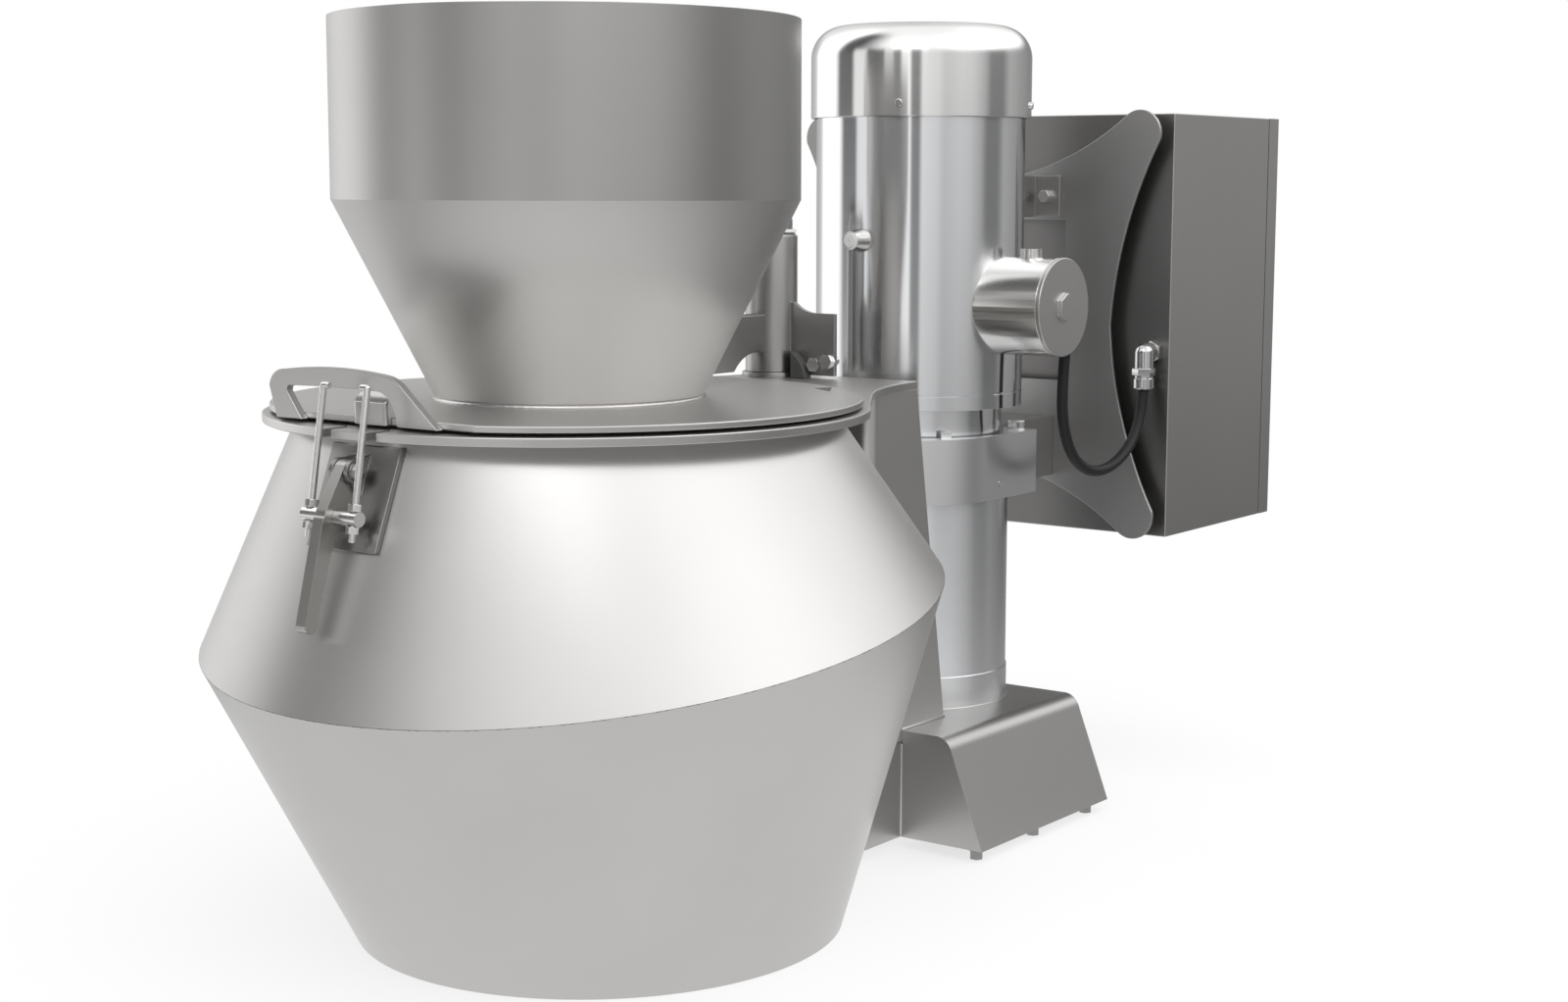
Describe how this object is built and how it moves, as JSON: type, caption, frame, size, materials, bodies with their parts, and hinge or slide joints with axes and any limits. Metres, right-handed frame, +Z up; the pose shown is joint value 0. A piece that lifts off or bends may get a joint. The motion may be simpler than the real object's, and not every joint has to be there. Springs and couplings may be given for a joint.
{
  "type": "centrifugal cheese grater",
  "caption": "Centrifugal grater with a feed hopper on a hinged lid, a belt-driven impeller in a knife head, a conical discharge hood and a column motor with its control cabinet.",
  "frame": {"origin": "centre of the footprint on the plane that the discharge rim and the base bolts stand on", "axes": "+Z up along the head and motor axes, +Y from the grating head to the control cabinet, +X to the side of the terminal box"},
  "size_m": [0.7039, 1.4805, 0.889],
  "materials": {
    "satin_sheet": "bead-blasted stainless sheet",
    "brushed_sheet": "brushed stainless sheet",
    "polished_tube": "polished turned stainless",
    "machined_steel": "machined stainless",
    "knife_steel": "ground knife steel",
    "fastener_steel": "plain stainless fasteners",
    "bearing_steel": "ground bearing steel",
    "core_iron": "varnished laminations",
    "cast_pulley": "machined cast iron",
    "belt_rubber": "fabric-backed rubber",
    "seal_rubber": "pale food-grade rubber",
    "cable_jacket": "smooth grey jacket",
    "gland_chrome": "bright plated brass",
    "black_plastic": "moulded, matt",
    "control_plastic": "moulded, matt"
  },
  "bodies": {
    "root": {"table_plate": "satin_sheet", "upper_cone": "satin_sheet", "lower_cone": "satin_sheet", "belt_housing": "brushed_sheet", "belt_cover": "brushed_sheet", "base_cover": "brushed_sheet", "base_bolts": "fastener_steel", "frame_channel": "satin_sheet", "column_tube": "polished_tube", "column_clamp": "polished_tube", "motor_housing": "polished_tube", "motor_cap": "polished_tube", "motor_bolts": "fastener_steel", "stator": "core_iron", "rotor_bearings": "bearing_steel", "drive_belt": "belt_rubber", "spindle_housing": "machined_steel", "spindle_bearings": "bearing_steel", "spindle_seal": "seal_rubber", "head_rings": "machined_steel", "knife_shoes": "machined_steel", "knives": "knife_steel", "head_bolts": "fastener_steel", "head_carrier": "machined_steel", "hinge_post": "polished_tube", "latch_base": "brushed_sheet", "junction_box": "polished_tube", "junction_cover": "polished_tube", "motor_plugs": "fastener_steel", "motor_cable": "cable_jacket", "motor_gland": "gland_chrome", "cabinet_gland": "gland_chrome", "cabinet_box": "brushed_sheet", "control_gear": "control_plastic", "door_hinges": "fastener_steel", "cabinet_plate": "brushed_sheet", "cabinet_bracket": "brushed_sheet"},
    "lid": {"lid_plate": "satin_sheet", "lid_seal": "seal_rubber", "feed_hopper": "satin_sheet", "lid_handle": "satin_sheet", "keeper_block": "machined_steel", "hinge_sleeve": "polished_tube", "hinge_gussets": "satin_sheet", "interlock_block": "black_plastic", "wing_bolts": "fastener_steel"},
    "latch_lever": {"latch_lever": "machined_steel"},
    "latch_bail": {"cross_pin": "machined_steel", "bail_rods": "machined_steel", "bail_nuts": "fastener_steel"},
    "impeller": {"impeller_disc": "machined_steel", "impeller_paddles": "machined_steel", "spindle_shaft": "machined_steel", "driven_pulley": "cast_pulley"},
    "rotor": {"rotor_shaft": "bearing_steel", "rotor_core": "core_iron", "cooling_fan": "black_plastic", "drive_pulley": "cast_pulley"},
    "cabinet_door": {"cabinet_door": "brushed_sheet"},
    "door_lock": {"door_lock": "black_plastic"}
  },
  "joints": [
    {"name": "lid_swing", "type": "hinge", "parent": "root", "child": "lid", "pos_m": [-0.07, 0.01325, 0.58], "axis": [0, 0, -1], "range_deg": [0, 100]},
    {"name": "lever_pivot", "type": "hinge", "parent": "root", "child": "latch_lever", "pos_m": [0, -0.6796, 0.472], "axis": [-1, 0, 0], "range_deg": [0, 95]},
    {"name": "bail_pivot", "type": "hinge", "parent": "latch_lever", "child": "latch_bail", "pos_m": [0, -0.6976, 0.435], "axis": [-1, 0, 0], "range_deg": [-95, 0]},
    {"name": "impeller_spin", "type": "hinge", "parent": "root", "child": "impeller", "pos_m": [0, -0.39675, 0.4], "axis": [0, 0, 1], "continuous": true},
    {"name": "rotor_spin", "type": "hinge", "parent": "root", "child": "rotor", "pos_m": [0, 0.20075, 0.4], "axis": [0, 0, 1], "continuous": true},
    {"name": "cabinet_door_swing", "type": "hinge", "parent": "root", "child": "cabinet_door", "pos_m": [-0.319, 0.71275, 0.547], "axis": [0, 0, 1], "range_deg": [0, 120]},
    {"name": "door_lock_turn", "type": "hinge", "parent": "cabinet_door", "child": "door_lock", "pos_m": [0.1425, 0.71275, 0.547], "axis": [0, -1, 0], "range_deg": [0, 90]}
  ],
  "couplings": [
    {"joint": "bail_pivot", "follows": "lever_pivot", "ratio": -1},
    {"joint": "rotor_spin", "follows": "impeller_spin", "ratio": 1.3448}
  ]
}
